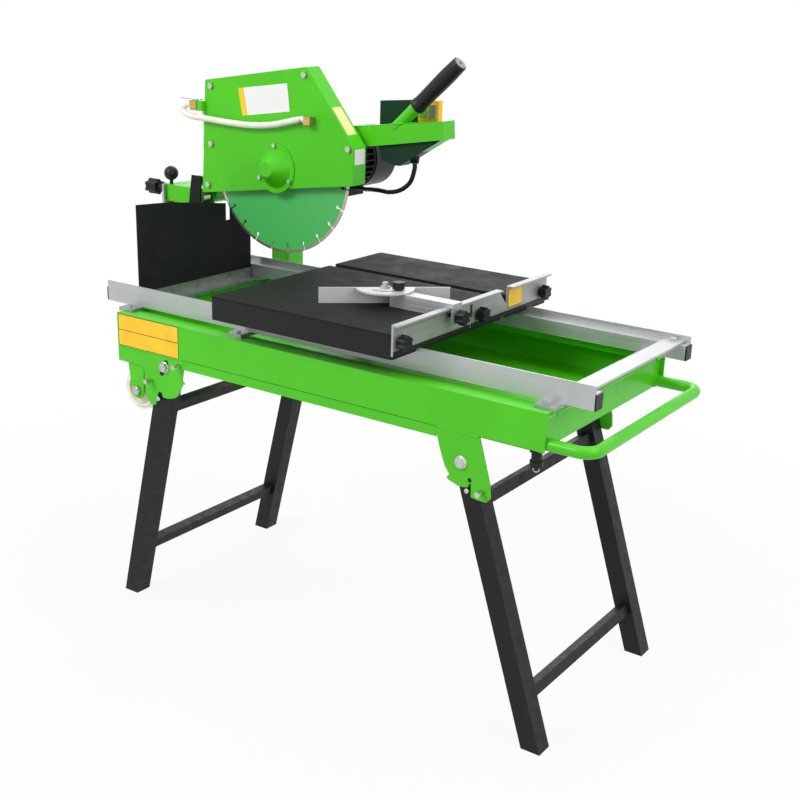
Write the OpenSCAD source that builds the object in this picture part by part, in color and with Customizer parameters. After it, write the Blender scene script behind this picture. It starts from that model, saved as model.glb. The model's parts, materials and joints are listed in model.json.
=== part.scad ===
// Wet cutting saw for stone and tile: a water tray on folding legs, a table that rolls on two rails,
// and a motor-driven diamond blade under a guard on an arm that pivots and tilts behind the tray.
// The model is laid out from the tray's near left top corner: X runs toward the operator's end,
// Y toward the far side, and Z = 0 is the top of the tray flange. at() moves it onto its own base.

/* [Tray] */
// Length of the water tray
tray_l = 960; // [940:5:980]
// Width of the water tray
tray_w = 460; // [450:5:470]
// Depth of the tray, flange to underside
tray_h = 66.5; // [60:0.5:72]
// Thickness of the tray's sheet steel
sheet = 2; // [1.5:0.25:2.5]
// Width of the flange along each long side
flange_w = 38; // [32:1:42]

/* [Rails] */
// Width of each rail tube
rail_w = 23; // [20:1:25]
// Wall of the rail profile
rail_wall = 2; // [1.5:0.25:3]
// Top of the rail's fin above the flange
fin_top = 47.5; // [44:0.1:47.5]

/* [Legs] */
// Height of the tray flange above the ground
tray_top = 612.5; // [560:0.5:640]
// Width of the square leg tube
leg_w = 35; // [30:1:35]
// Lean of the left legs from upright, degrees
left_lean = 13.5; // [10:0.1:14]
// Lean of the right legs from upright, degrees
right_lean = 18.26; // [15:0.01:19]
// Radius of the transport wheels
wheel_r = 42; // [38:1:42]

/* [Table] */
// Length of the rolling table along the rails
table_l = 403; // [380:1:406]
// Width of the rolling table
table_w = 526; // [510:1:530]
// Height of the table top above the flange
table_top = 84.4; // [83:0.1:84.4]
// Width of the slot the blade runs in
slot_w = 20; // [18:1:24]
// Radius of the table's rollers
roller_r = 16; // [14:0.5:16]

/* [Blade] */
// Outer radius of the diamond blade
blade_r = 175; // [165:1:175]
// Number of rim segments
segments = 24; // [18:1:30]
// Thickness of the blade core
blade_t = 2.4; // [1.8:0.1:2.8]
// Width of the slot between two segments
gullet_w = 3; // [2:0.5:4]

/* [Head] */
// Radius of the motor over its fins
motor_r = 64; // [58:1:64]
// Outer diameter of the handle tube
handle_d = 21; // [19:1:24]
// Outer diameter of the handle grip
grip_d = 29; // [26:1:32]
// Outer diameter of the water hose
hose_d = 13; // [10:1:14]

/* [Hidden] */
$fn = 48;

floor_z = -tray_h;
rail_y = 39.5;
rail_z0 = 7;
rail_z1 = 33.7;
rail_x0 = -68.5;
rail_x1 = tray_l + 63.8;
plate = 3;
cap_t = 3;

// Running clearances, on the radius
fit = 0.05;

// Legs and wheels
left_pivot = [126, -89];
right_pivot = [tray_l - 152, -118];
leg_y = 4;
leg_top = 12;
leg_wall = 2;
pivot_bolt_r = 5;
left_pin_r = 69;
right_pin_r = 49;
pin_r = 4;
wheel_at = [47, -152];
wheel_y = 10;
wheel_w = 28;
axle_r = 6;
lower_bar = 427;

// Drain in the tray's floor
drain_x = tray_l - 24;
drain_y = 22;
drain_r = 8.9;

// Handle bar
grab_r = 10.5;
grab_x = tray_l + 76;
grab_z = -55;
grab_y = 14;
bend_r = 27;

// Table and fence
table_x0 = 283;
table_x1 = table_x0 + table_l;
table_y0 = -33;
table_y1 = table_y0 + table_w;
skirt_z = 41;
mat_t = 3;
deck_t = 3;
deck_z = table_top - mat_t - deck_t;
blade_y = 325.6;
roller_z = rail_z1 + roller_r + 0.3;
roller_inset = 50;
roller_xs = [table_x0 + roller_inset, table_x1 - roller_inset];
rib_w = 20;
rib_xs = [table_x0 + 75, table_x1 - 75 - rib_w];
fence_x = table_x1;
fence_t = 4;
fence_y0 = -36;
fence_y1 = 484;
fence_top = 102;
fence_z0 = fin_top + 0.8;
hook_x = fence_x + 16;
fin_clear = 1.5;

// Mitre gauge
gauge_at = [552, 133];
gauge_angle = 42;
arm_w = 28;
arm_z0 = table_top + 0.3;
arm_z1 = 110;
disc_r = 53;
lock_r = 29;

// Tilting yoke, around an axis along X in the plane of the blade
tilt_z = 84;
tilt_shaft_r = 15;
sector_x = -170;
sector_r = 74;
yoke_x = -178;
block_z0 = 163;
block_z1 = 199;
block_x1 = -67;
clamp_r = 60;
plunger_x = -166;
knob_yz = [336, 186];
knob_r = 17;

// Head, around an axis along Y behind the blade
chop = [-84, 181];
chop_r = 10;
hub = [148.7, 267];
beam_y0 = 358;
beam_y1 = 398;
lug_y = 402;
guard_y0 = 307;
guard_y1 = 347;
arbor_r = 12.7;
motor_y0 = 402;
motor_y1 = 640;

x_min = -244;
x_max = grab_x + grab_r;
y_min = fence_y0;
y_max = motor_y1;

// Routes of the cord and the hoses, in points that lie on their middle line
cable_route = [[436, 386, 297.2], [436, 386, 287], [427, 386, 261], [405, 386, 243], [376, 388, 235],
    [349, 392, 235], [318, 405, 232], [286, 430, 226], [260, 448, 224], [237, 448, 224]];
hose_route = [[232.8, 298, 369], [216, 298, 369], [150, 298, 354], [87, 298, 348], [20, 298, 349],
    [-37, 298, 352], [-78, 299, 354], [-101, 301, 365], [-88, 302, 377], [-76.3, 302, 377]];
feed_route = [[-66, 313.8, 376], [-66, 322, 376], [-72, 334, 371], [-80, 345, 355], [-89, 357, 331],
    [-101, 369, 303], [-109, 376, 281], [-100, 378, 270], [-88.8, 378, 270]];

// --- Helpers ---------------------------------------------------------------------------------

module at() {
    translate([-(x_min + x_max) / 2, -(y_min + y_max) / 2, tray_top]) children();
}

module box(a, b) {
    translate(a) cube(b - a);
}

module slab_x(x0, x1) {
    translate([x0, 0, 0]) rotate([90, 0, 90]) linear_extrude(x1 - x0) children();
}

module slab_y(y0, y1) {
    translate([0, y1, 0]) rotate([90, 0, 0]) linear_extrude(y1 - y0) children();
}

module slab_z(z0, z1) {
    translate([0, 0, z0]) linear_extrude(z1 - z0) children();
}

module rod_x(y, z, x0, x1, r) {
    translate([x0, y, z]) rotate([0, 90, 0]) cylinder(h = x1 - x0, r = r);
}

module rod_y(x, z, y0, y1, r) {
    translate([x, y1, z]) rotate([90, 0, 0]) cylinder(h = y1 - y0, r = r);
}

module rod_z(x, y, z0, z1, r) {
    translate([x, y, z0]) cylinder(h = z1 - z0, r = r);
}

module hex_y(x, z, y0, y1, r) {
    translate([x, y1, z]) rotate([90, 0, 0]) cylinder(h = y1 - y0, r = r, $fn = 6);
}

module hex_z(x, y, z0, z1, r) {
    translate([x, y, z0]) cylinder(h = z1 - z0, r = r, $fn = 6);
}

// A shape and its mirror image on the far side of the tray
module both_sides() {
    children();
    far_side() children();
}

module far_side() {
    translate([0, tray_w, 0]) mirror([0, 1, 0]) children();
}

// A lobed knob's outline
module star(r, lobes = 6) {
    circle(r * 0.78);
    for (i = [0:lobes - 1])
        rotate(i * 360 / lobes) translate([r * 0.74, 0]) circle(r * 0.26);
}

function unit(v) = v / norm(v);

// Points along a smooth curve through the route
function curve_point(p, i, t) =
    let (a = p[max(i - 1, 0)], b = p[i], c = p[i + 1], d = p[min(i + 2, len(p) - 1)])
    0.5 * (2 * b + (c - a) * t + (2 * a - 5 * b + 4 * c - d) * t * t
        + (3 * b - a - 3 * c + d) * t * t * t);
function smooth_path(p, n) = concat(
    [for (i = [0:len(p) - 2]) for (j = [0:n - 1]) curve_point(p, i, j / n)], [p[len(p) - 1]]);
function tangents(q) = [for (i = [0:len(q) - 1])
    unit(q[min(i + 1, len(q) - 1)] - q[max(i - 1, 0)])];
function normals(t, n, i = 0) = i == len(t) ? [] :
    let (m = unit(n - (n * t[i]) * t[i])) concat([m], normals(t, m, i + 1));

// A round cord swept along a route
module cord(route, r, steps, sides = 10) {
    q = smooth_path(route, steps);
    t = tangents(q);
    m = normals(t, [0, 0.1, 1]);
    rings = len(q);
    pts = [for (i = [0:rings - 1]) for (j = [0:sides - 1])
        q[i] + r * (cos(j * 360 / sides) * m[i] + sin(j * 360 / sides) * cross(t[i], m[i]))];
    skin = [for (i = [0:rings - 2]) for (j = [0:sides - 1])
        [i * sides + j, i * sides + (j + 1) % sides,
            (i + 1) * sides + (j + 1) % sides, (i + 1) * sides + j]];
    ends = [[for (j = [sides - 1:-1:0]) j], [for (j = [0:sides - 1]) (rings - 1) * sides + j]];
    polyhedron(points = pts, faces = [for (f = concat(skin, ends)) [for (k = [len(f) - 1:-1:0]) f[k]]]);
}

// --- Tray and frame --------------------------------------------------------------------------

module tray_side() {
    box([0, 0, floor_z], [tray_l, sheet, 0]);
    box([0, sheet, -sheet], [tray_l, flange_w, 0]);
    box([0, flange_w - sheet, -12], [tray_l, flange_w, -sheet]);
}

module tray() color("limegreen") {
    end_in = 10;
    lip_r = 5.5;
    lip_z = -8;
    difference() {
        union() {
            both_sides() tray_side();
            box([end_in, sheet, floor_z], [tray_l - end_in, tray_w - sheet, floor_z + sheet]);
            for (x = [end_in, tray_l - end_in - sheet])
                box([x, sheet, floor_z], [x + sheet, tray_w - sheet, lip_z]);
            rod_y(end_in - lip_r + sheet, lip_z, sheet, tray_w - sheet, lip_r);
            rod_y(tray_l - end_in + lip_r - sheet, lip_z, sheet, tray_w - sheet, lip_r);
        }
        rod_z(drain_x, drain_y, floor_z - 1, floor_z + sheet + 1, drain_r + 0.1);
    }
}

module under_frame() color("limegreen") {
    both_sides() box([179, 0.5, -84.5], [right_pivot[0] - 52, plate + 0.5, floor_z]);
    for (x = [290, 640])
        box([x, plate + 0.5, -70.5], [x + 30, tray_w - plate - 0.5, floor_z]);
}

module left_bracket_outline() {
    difference() {
        union() {
            polygon([[0, floor_z], [0, -98], [70, -98], [72, -150], [77, -165], [85, -172],
                [98, -172], [103, -160], [106, -146], [110, -142], [116, -141], [120, -66.5]]);
            intersection() {
                polygon([[110, floor_z], [110, -142], [117, -143], [121, -158], [137, -158],
                    [160, -140], [173, -116], [179, -113], [173, -109], [174, -96], [179, -80],
                    [179, floor_z]]);
                translate(left_pivot) circle(left_pin_r - pin_r - 2);
            }
        }
        translate(left_pivot) circle(pivot_bolt_r + 0.1);
    }
}

module right_bracket_outline() translate([right_pivot[0], 0]) difference() {
    bolt = [0, right_pivot[1]];
    union() {
        intersection() {
            polygon([[-52, floor_z], [-52, -73], [-42, -105], [-32, -131], [-22, -145],
                [-29, -153], [-2, -162], [15, -162], [33, -84], [33, floor_z]]);
            union() {
                translate(bolt) circle(right_pin_r - pin_r - 1.6);
                box_2d([-68, -112], [42, floor_z]);
            }
        }
        polygon([[0, floor_z], [14, -150], [21, -152], [22, -175], [36, -177], [52, -177],
            [59, -168], [57, -145], [33, floor_z]]);
    }
    translate(bolt) circle(pivot_bolt_r + 0.1);
    translate([18, -146]) circle(4);
}

module box_2d(a, b) {
    translate(a) square(b - a);
}

module leg_brackets() color("limegreen") both_sides() {
    slab_y(0, plate) left_bracket_outline();
    slab_y(0, plate) right_bracket_outline();
}

// A bolt across one leg tube, head outside and nut inside the frame
module leg_bolt(p) {
    hex_y(p[0], p[1], -6, 0, 9.5);
    rod_y(p[0], p[1], 0, leg_y + leg_w + 9, pivot_bolt_r);
    hex_y(p[0], p[1], leg_y + leg_w + 0.4, leg_y + leg_w + 7.4, 9);
}

module frame_bolts() color("silver") both_sides() {
    leg_bolt(left_pivot);
    leg_bolt(right_pivot);
    for (p = [[167, -78], [90, -122], [right_pivot[0] + 44, -160]])
        rod_y(p[0], p[1], -18, 0, 5);
}

module rail_outline() {
    difference() {
        box_2d([rail_y, rail_z0], [rail_y + rail_w, rail_z1]);
        box_2d([rail_y + rail_wall, rail_z0 + rail_wall],
            [rail_y + rail_w - rail_wall, rail_z1 - rail_wall]);
    }
    box_2d([rail_y, rail_z1], [rail_y + plate, fin_top]);
}

module rail() color("silver") slab_x(rail_x0 + cap_t, rail_x1 - cap_t) rail_outline();

module rail_near() rail();

module rail_far() far_side() rail();

module rail_cap(x, turn) {
    translate([x, 0, 0]) mirror([turn, 0, 0]) {
        box([-cap_t, rail_y, rail_z0], [0, rail_y + rail_w, rail_z1]);
        box([0, rail_y + rail_wall + 0.2, rail_z0 + rail_wall + 0.2],
            [9, rail_y + rail_w - rail_wall - 0.2, rail_z1 - rail_wall - 0.2]);
    }
}

module rail_caps() color("dimgray") both_sides() {
    rail_cap(rail_x0 + cap_t, 0);
    rail_cap(rail_x1 - cap_t, 1);
}

// Galvanised strips that carry the rails, with the angle that holds the curtain
module rail_feet() color("gainsboro") {
    for (x = [-8, tray_l - 31])
        box([x, 14, 0], [x + 36, tray_w - 14, rail_z0]);
    both_sides() box([281, 14, 0], [313, 66, rail_z0]);
    box([0, 66, rail_z0], [2, 394, 27]);
    both_sides() for (x = [10, 297, tray_l - 13])
        hex_z(x, 22, rail_z0, rail_z0 + 5, 7);
}

module cross_bar() color("silver") {
    box([tray_l + 15, rail_y + plate, rail_z1], [tray_l + 50, tray_w - rail_y - plate, 38]);
    both_sides() hex_z(tray_l + 32.5, 53, 38, 43, 7);
}

module grab_corner() {
    translate([grab_x - bend_r, grab_y + bend_r, grab_z]) rotate([0, 0, -90])
        rotate_extrude(angle = 90) translate([bend_r, 0]) difference() {
            circle(grab_r);
            circle(grab_r - sheet);
        }
}

module tube_x(y, z, x0, x1, r, wall) {
    difference() {
        rod_x(y, z, x0, x1, r);
        rod_x(y, z, x0 - 1, x1 + 1, r - wall);
    }
}

module tube_y(x, z, y0, y1, r, wall) {
    difference() {
        rod_y(x, z, y0, y1, r);
        rod_y(x, z, y0 - 1, y1 + 1, r - wall);
    }
}

module handle_bar() color("limegreen") {
    both_sides() {
        tube_x(grab_y, grab_z, tray_l - 10, grab_x - bend_r, grab_r, sheet);
        grab_corner();
    }
    tube_y(grab_x, grab_z, grab_y + bend_r, tray_w - grab_y - bend_r, grab_r, sheet);
}

module drain_stub() color("gray") difference() {
    union() {
        rod_z(drain_x, drain_y, -96, -62.5, drain_r);
        rod_z(drain_x, drain_y, floor_z + sheet, floor_z + sheet + 2.5, 11);
        hex_z(drain_x, drain_y, -74, floor_z, 14);
        rod_z(drain_x, drain_y, -100, -90, 11);
    }
    rod_z(drain_x, drain_y, -101, -60, 6);
}

module wheel_forks() color("limegreen") both_sides() {
    for (y = [plate, wheel_y + wheel_w + 3])
        slab_y(y, y + plate) difference() {
            hull() {
                box_2d([20, floor_z - 10], [68, floor_z]);
                translate([wheel_at[0], wheel_at[1] - 2]) circle(16, $fn = 32);
            }
            translate(wheel_at) circle(axle_r + fit);
        }
}

module wheel_axles() color("silver") both_sides() {
    rod_y(wheel_at[0], wheel_at[1], -5, wheel_y + wheel_w + 12, axle_r);
    for (y = [-3, wheel_y + wheel_w + 6])
        hex_y(wheel_at[0], wheel_at[1], y, y + 6, 10);
}

module wheel(y0) color("linen") difference() {
    union() {
        rod_y(wheel_at[0], wheel_at[1], y0 + 2, y0 + wheel_w - 2, wheel_r);
        rod_y(wheel_at[0], wheel_at[1], y0, y0 + wheel_w, wheel_r - 6);
    }
    for (y = [y0 - 1, y0 + wheel_w - 5])
        difference() {
            rod_y(wheel_at[0], wheel_at[1], y, y + 6, wheel_r - 11);
            rod_y(wheel_at[0], wheel_at[1], y - 1, y + 7, 13);
        }
    rod_y(wheel_at[0], wheel_at[1], y0 - 1, y0 + wheel_w + 1, axle_r + fit);
}

module wheel_near() wheel(wheel_y);

module wheel_far() far_side() wheel(wheel_y);

// --- Folding legs ----------------------------------------------------------------------------

// One frame of two legs, turned about its pivot and cut level at the ground
module leg_frame(p, lean, pin_at, upper_at) {
    reach = (tray_top + p[1]) / cos(lean) + leg_w;
    difference() {
        translate([p[0], 0, p[1]]) rotate([0, lean, 0]) {
            both_sides() {
                difference() {
                    box([-leg_w / 2, leg_y, -reach], [leg_w / 2, leg_y + leg_w, leg_top]);
                    box([-leg_w / 2 + leg_wall, leg_y + leg_wall, -reach - 1],
                        [leg_w / 2 - leg_wall, leg_y + leg_w - leg_wall, leg_top - leg_wall]);
                    rod_y(0, 0, 0, 60, pivot_bolt_r + fit);
                }
                rod_y(0, -pin_at, -4, leg_y, pin_r);
            }
            for (z = [upper_at, lower_bar])
                box([-10, leg_y + leg_w, -z - 10], [10, tray_w - leg_y - leg_w, -z + 10]);
        }
        box([-400, -10, -tray_top - 200], [1400, tray_w + 10, -tray_top]);
    }
    both_sides() leg_foot(p, lean);
}

// A plastic plug in the foot of one leg
module leg_foot(p, lean) {
    foot_h = 30;
    plug_in = leg_wall - 0.6;
    intersection() {
        translate([p[0], 0, p[1]]) rotate([0, lean, 0])
            box([-leg_w / 2 + plug_in, leg_y + plug_in, -700],
                [leg_w / 2 - plug_in, leg_y + leg_w - plug_in, 0]);
        box([-400, -10, -tray_top], [1400, tray_w + 10, -tray_top + foot_h]);
    }
}

module legs_left() color("dimgray") leg_frame(left_pivot, left_lean, left_pin_r, 96);

module legs_right() color("dimgray") leg_frame(right_pivot, -right_lean, right_pin_r, 76);

// --- Rolling table ---------------------------------------------------------------------------

module table_panel(z0, z1, corner_r) {
    slab_z(z0, z1) difference() {
        union() {
            box_2d([table_x0 + corner_r, table_y0], [table_x1 - corner_r, table_y1]);
            box_2d([table_x0, table_y0 + corner_r], [table_x1, table_y1 - corner_r]);
            for (x = [table_x0 + corner_r, table_x1 - corner_r])
                for (y = [table_y0 + corner_r, table_y1 - corner_r])
                    translate([x, y]) circle(corner_r);
        }
        box_2d([table_x0 - 1, blade_y - slot_w / 2], [table_x1 + 1, blade_y + slot_w / 2]);
    }
}

module table_deck() color("dimgray") difference() {
    table_panel(skirt_z, deck_z + deck_t, 6);
    box([table_x0 + plate, table_y0 + plate, skirt_z - 1],
        [table_x1 - plate, table_y1 - plate, deck_z]);
    for (y = [-18, 230, 460])
        rod_x(y, 70, table_x1 - 5, table_x1 + 1, 4 + fit);
    both_sides() box([table_x0 - 1, rail_y - fin_clear, skirt_z - 1],
        [table_x1 + 1, rail_y + plate + fin_clear, fin_top + fin_clear]);
}

module table_mat() color("dimgray") table_panel(deck_z + deck_t, table_top, 6);

module table_ribs() color("dimgray") {
    for (x = rib_xs)
        box([x, table_y0 + plate, fin_top + fin_clear], [x + rib_w, table_y1 - plate, 60]);
    for (x = rib_xs)
        for (y = [table_y0 + 40, 90, 250, 290, 370, 440])
            box([x, y, 60], [x + rib_w, y + 4, deck_z]);
}

// Plates under the deck that carry the two roller axles
module roller_brackets() color("dimgray") both_sides() for (x = roller_xs)
    difference() {
        box([x - 22, 66, 40], [x + 22, 72, deck_z]);
        rod_y(x, roller_z, 60, 80, 6 + fit);
    }

module rollers(x) {
    color("whitesmoke") both_sides() {
        rod_y(x, roller_z, rail_y + plate + 0.8, 62, roller_r);
        rod_y(x, roller_z, 62, 65.5, 9);
    }
    color("silver") rod_y(x, roller_z, 62, tray_w - 62, 6);
}

module rollers_left() rollers(roller_xs[0]);

module rollers_right() rollers(roller_xs[1]);

module fence_plate() color("silver") difference() {
    union() {
        box([fence_x, fence_y0, fence_z0], [fence_x + fence_t, fence_y1, fence_top]);
        box([fence_x + fence_t, fence_y0, fence_top - 3], [fence_x + 14, fence_y1, fence_top]);
    }
    slab_x(fence_x - 1, fence_x + 20)
        polygon([[297, 103], [334, 103], [334, 70], [328, 70]]);
    for (y = [-18, 230, 460])
        rod_x(y, 70, fence_x - 1, fence_x + 5, 4 + fit);
}

module fence_strip() color("black") {
    x = fence_x + fence_t;
    difference() {
        box([x, fence_y0, fence_z0], [x + 2, fence_y1, 56]);
        box([x - 1, 200, fence_z0 - 1], [x + 3, 206, 57]);
    }
}

module knob_x(x, y, z, r, h, stem_r, stem_x0) {
    color("black") translate([x, y, z]) rotate([0, 90, 0]) linear_extrude(h) star(r);
    color("silver") rod_x(y, z, x - 4, x, 8);
    color("silver") rod_x(y, z, stem_x0, x - 4, stem_r);
}

module fence_knob(y) knob_x(fence_x + fence_t + 4.2, y, 70, 14, 14, 4, table_x1 - 15);

module fence_knob_near() fence_knob(-18);

module fence_knob_mid() fence_knob(230);

module fence_knob_far() fence_knob(460);

// --- Mitre gauge -----------------------------------------------------------------------------

module gauge_arm() color("gainsboro") difference() {
    y0 = gauge_at[1] - arm_w / 2;
    y1 = gauge_at[1] + arm_w / 2;
    union() {
        difference() {
            box([gauge_at[0] + 20, y0, arm_z0], [hook_x, y1, arm_z1]);
            box([gauge_at[0] + 19, y0 + 3, arm_z0 + 3], [hook_x - 20, y1 - 3, arm_z1 - 3]);
        }
        box([hook_x, y0, 74], [hook_x + 4, y1, arm_z1]);
        box([gauge_at[0], y0 + 2, arm_z1 - 3], [gauge_at[0] + 20, y1 - 2, arm_z1]);
        rod_z(gauge_at[0], gauge_at[1], arm_z1 - 3, arm_z1, arm_w / 2 - 2);
        rod_z(gauge_at[0], gauge_at[1], arm_z1, 113.6, 5);
        rod_z(gauge_at[0], gauge_at[1], 113.6, 116, 9);
        rod_z(gauge_at[0], gauge_at[1], 116, 123, 5.5);
    }
    box([fence_x - 0.3, y0 - 1, 60], [hook_x - 0.5, y1 + 1, fence_top + 0.4]);
    rod_x(gauge_at[1], 86, hook_x - 1, hook_x + 5, 4 + fit);
    rod_z(gauge_at[0] + lock_r, gauge_at[1], arm_z1 - 4, arm_z1 + 1, 3 + fit);
}

module gauge_clamp_knob() knob_x(hook_x + 8.2, gauge_at[1], 86, 14, 14, 4, fence_x + fence_t + 0.3);

// The gauge's fence, with the half disc that turns on the arm's pivot
module gauge_plate() color("gainsboro") translate([gauge_at[0], gauge_at[1], 0])
    rotate(gauge_angle) difference() {
        disc_z = arm_z1 + 0.3;
        union() {
            box([-119, 1, arm_z0], [118, 4, disc_z + 3]);
            slab_z(disc_z, disc_z + 3) intersection() {
                circle(disc_r);
                box_2d([-disc_r, -disc_r], [disc_r, 1]);
            }
        }
        box([-24, 0, arm_z1 - 3.4], [24, 5, disc_z]);
        rod_z(0, 0, disc_z - 1, disc_z + 4, 5 + fit);
        slab_z(disc_z - 1, disc_z + 4) arc_slot(lock_r, 3.2, -142, -38);
    }

// A slot of half-width w along an arc of radius r
module arc_slot(r, w, a0, a1) {
    intersection() {
        difference() {
            circle(r + w);
            circle(r - w);
        }
        polygon([[0, 0], 3 * r * [cos(a0), sin(a0)], 3 * r * [cos((a0 + a1) / 2), sin((a0 + a1) / 2)],
            3 * r * [cos(a1), sin(a1)]]);
    }
    for (a = [a0, a1])
        translate(r * [cos(a), sin(a)]) circle(w * 0.9);
}

module gauge_lock_knob() {
    x = gauge_at[0] + lock_r;
    color("black") translate([x, gauge_at[1], 116]) linear_extrude(12) star(12);
    color("silver") rod_z(x, gauge_at[1], arm_z1 + 3.6, 116, 7);
    color("silver") rod_z(x, gauge_at[1], arm_z1 - 10, arm_z1 + 3.6, 3);
}

// --- Rear stand and tilting yoke -------------------------------------------------------------

// Welded stand behind the tray: sector with its arc slot, tilt bearing and two arms
module tilt_stand() color("limegreen") difference() {
    union() {
        slab_x(sector_x, sector_x + 8) difference() {
            union() {
                translate([blade_y, tilt_z]) circle(sector_r);
                box_2d([blade_y - 50, -60], [blade_y + 50, tilt_z - 40]);
            }
            translate([blade_y, tilt_z]) arc_slot(clamp_r, 5.3, -94, -41);
            for (a = [90, 135])
                translate([blade_y, tilt_z]) rotate(a) box_2d([sector_r - 9, -4.3], [sector_r + 2, 4.3]);
        }
        rod_x(blade_y, tilt_z, sector_x + 8, -84, 20);
        slab_x(-92, -84) union() {
            translate([blade_y, tilt_z]) circle(36);
            box_2d([blade_y - 36, -60], [blade_y + 36, tilt_z]);
            box_2d([blade_y - 51, -60], [blade_y + 51, -20]);
        }
        for (y = [275, 356])
            box([sector_x + 8, y, -60], [10, y + 20, -20]);
    }
    rod_x(blade_y, tilt_z, sector_x - 1, -83, tilt_shaft_r + fit);
    for (y = [275, 356])
        box([sector_x + 11, y + 3, -57], [11, y + 17, -23]);
}

module tilt_plate() color("gainsboro") {
    difference() {
        box([yoke_x, 308, 10], [yoke_x + 6, 364, block_z1]);
        rod_x(blade_y, tilt_z - clamp_r, yoke_x - 1, yoke_x + 7, 5 + fit);
        rod_x(knob_yz[0], knob_yz[1], yoke_x - 1, yoke_x + 7, 5 + fit);
    }
    rod_x(blade_y, tilt_z, yoke_x + 6, -78, tilt_shaft_r);
    rod_x(blade_y, tilt_z, yoke_x + 6, yoke_x + 7.8, 24);
    rod_x(blade_y, tilt_z, -83.6, -72, 20);
}

module tilt_block() color("limegreen") difference() {
    union() {
        box([yoke_x + 6, 316, block_z0], [block_x1, 356, block_z1]);
        box([yoke_x + 6, 356, block_z0], [-132, 408, block_z1]);
        box([-132, lug_y, block_z0], [-62, lug_y + 6, block_z1]);
        rod_y(chop[0], chop[1], lug_y, lug_y + 6, 18);
    }
    box([yoke_x + 5, 319, block_z0 + 3], [block_x1 + 1, 353, block_z1 - 3]);
    box([yoke_x + 9, 352, block_z0 + 3], [-135, 405, block_z1 - 3]);
    rod_y(chop[0], chop[1], 310, 415, chop_r + fit);
    rod_z(plunger_x, blade_y, 150, 210, 4 + fit);
}

module tilt_clamp() {
    z = tilt_z - clamp_r;
    color("silver") rod_x(blade_y, z, yoke_x, sector_x + 24, 5);
    color("silver") rod_x(blade_y, z, yoke_x - 6, yoke_x, 9);
    color("silver") rod_x(blade_y, z, sector_x + 8.3, sector_x + 11, 10);
    color("black") translate([sector_x + 11, blade_y, z]) rotate([0, 90, 0]) linear_extrude(20) star(17);
}

module brake_knob() {
    y = knob_yz[0];
    z = knob_yz[1];
    color("silver") rod_x(y, z, -191, -98.6, 5);
    color("gainsboro") rod_x(y, z, -200, -191, 11);
    color("gainsboro") rod_x(y, z, -214, -200, 8);
    color("black") translate([x_min, y, z]) rotate([0, 90, 0]) linear_extrude(30) star(knob_r);
}

module index_plunger() {
    color("silver") rod_z(plunger_x, blade_y, 159, 212, 4);
    color("black") difference() {
        translate([plunger_x, blade_y, 222.5]) sphere(15.5);
        box([plunger_x - 20, blade_y - 20, 200], [plunger_x + 20, blade_y + 20, 208]);
    }
}

// --- Head ------------------------------------------------------------------------------------

// Arm with its cable box and motor plate, handle tube and the housing of the arbor
module arm_beam() color("limegreen") difference() {
    union() {
        slab_y(beam_y0, beam_y1) union() {
            polygon([[519, 352], [516, 386], [-24, 318.5], [-60, 303], [-102, 184], [-66, 178],
                [-6, 278], [344, 324]]);
            translate(chop) circle(18);
        }
        slab_y(366, 396) polygon([[510, 351], [414, 293], [400, 293], [372, 300], [364, 327]]);
        box([75, beam_y1, 195], [222, motor_y0, 330]);
        rod_y(hub[0], hub[1], guard_y1, beam_y1, 28);
        box([300, guard_y1, 325], [322, beam_y0, 350]);
        box([-30, guard_y1, 290], [-8, beam_y0, 312]);
        box([-86, 312, 212], [-63, beam_y0, 226]);
        rod_x(378, 270, -88, -70, 6);
        rod_z(436, 386, 298, 310, 8);
        translate([400, 368, 362]) rotate([0, 47.5, 0]) cylinder(h = 104, r = handle_d / 2);
    }
    rod_y(chop[0], chop[1], beam_y0 - 1, beam_y1 + 1, chop_r);
    rod_y(hub[0], hub[1], guard_y1 - 1, motor_y0 + 1, arbor_r + fit);
    slab_y(369, 393) polygon([[496, 347], [412, 296], [402, 296], [377, 302], [369, 325]]);
    slab_y(beam_y0 + 3, beam_y1 - 3) polygon([[513, 355], [511, 380], [-20, 314], [-54, 297],
        [-66, 262], [-30, 262], [-10, 281.5], [344, 328]]);
}

module guard_outline(inset) {
    polygon([[-55 + inset, 195 - inset], [-41 + inset, 429 - inset], [228 - inset * 0.6, 470 - inset],
        [346 - inset, 324 - inset * 0.6], [345 - inset, 252 - inset]]);
}

module guard() color("limegreen") difference() {
    union() {
        slab_y(guard_y0, guard_y1) difference() {
            guard_outline(0);
            guard_outline(2);
        }
        slab_y(guard_y0, guard_y0 + 2) guard_outline(0);
        slab_y(guard_y1 - 2, guard_y1) guard_outline(0);
        box([-57, 296, 366], [-42, guard_y0 + 6, 386]);
    }
    rod_y(hub[0], hub[1], guard_y0 - 1, guard_y1 + 1, 36);
}

module guard_screws() color("silver") {
    for (p = [[-24, 418], [224, 455], [334, 322], [-37, 214], [-26, 300]])
        hex_y(p[0], p[1], guard_y0 - 5, guard_y0, 6.5);
    for (a = [90, 210, 330])
        hex_y(hub[0] + 45 * cos(a), hub[1] + 45 * sin(a), 299.5, 304, 4.5);
}

module hub_cover() color("limegreen") translate([hub[0], guard_y0, hub[1]]) rotate([90, 0, 0])
    rotate_extrude() polygon([[0, 31.5], [15, 31.5], [17, 30], [40, 3], [50, 3], [50, 0], [37.5, 0],
        [15, 28], [0, 28.5]]);

module chop_shaft() color("silver") {
    rod_y(chop[0], chop[1], 312, 412, chop_r);
    rod_y(chop[0], chop[1], 326, 346, 14);
}

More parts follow.
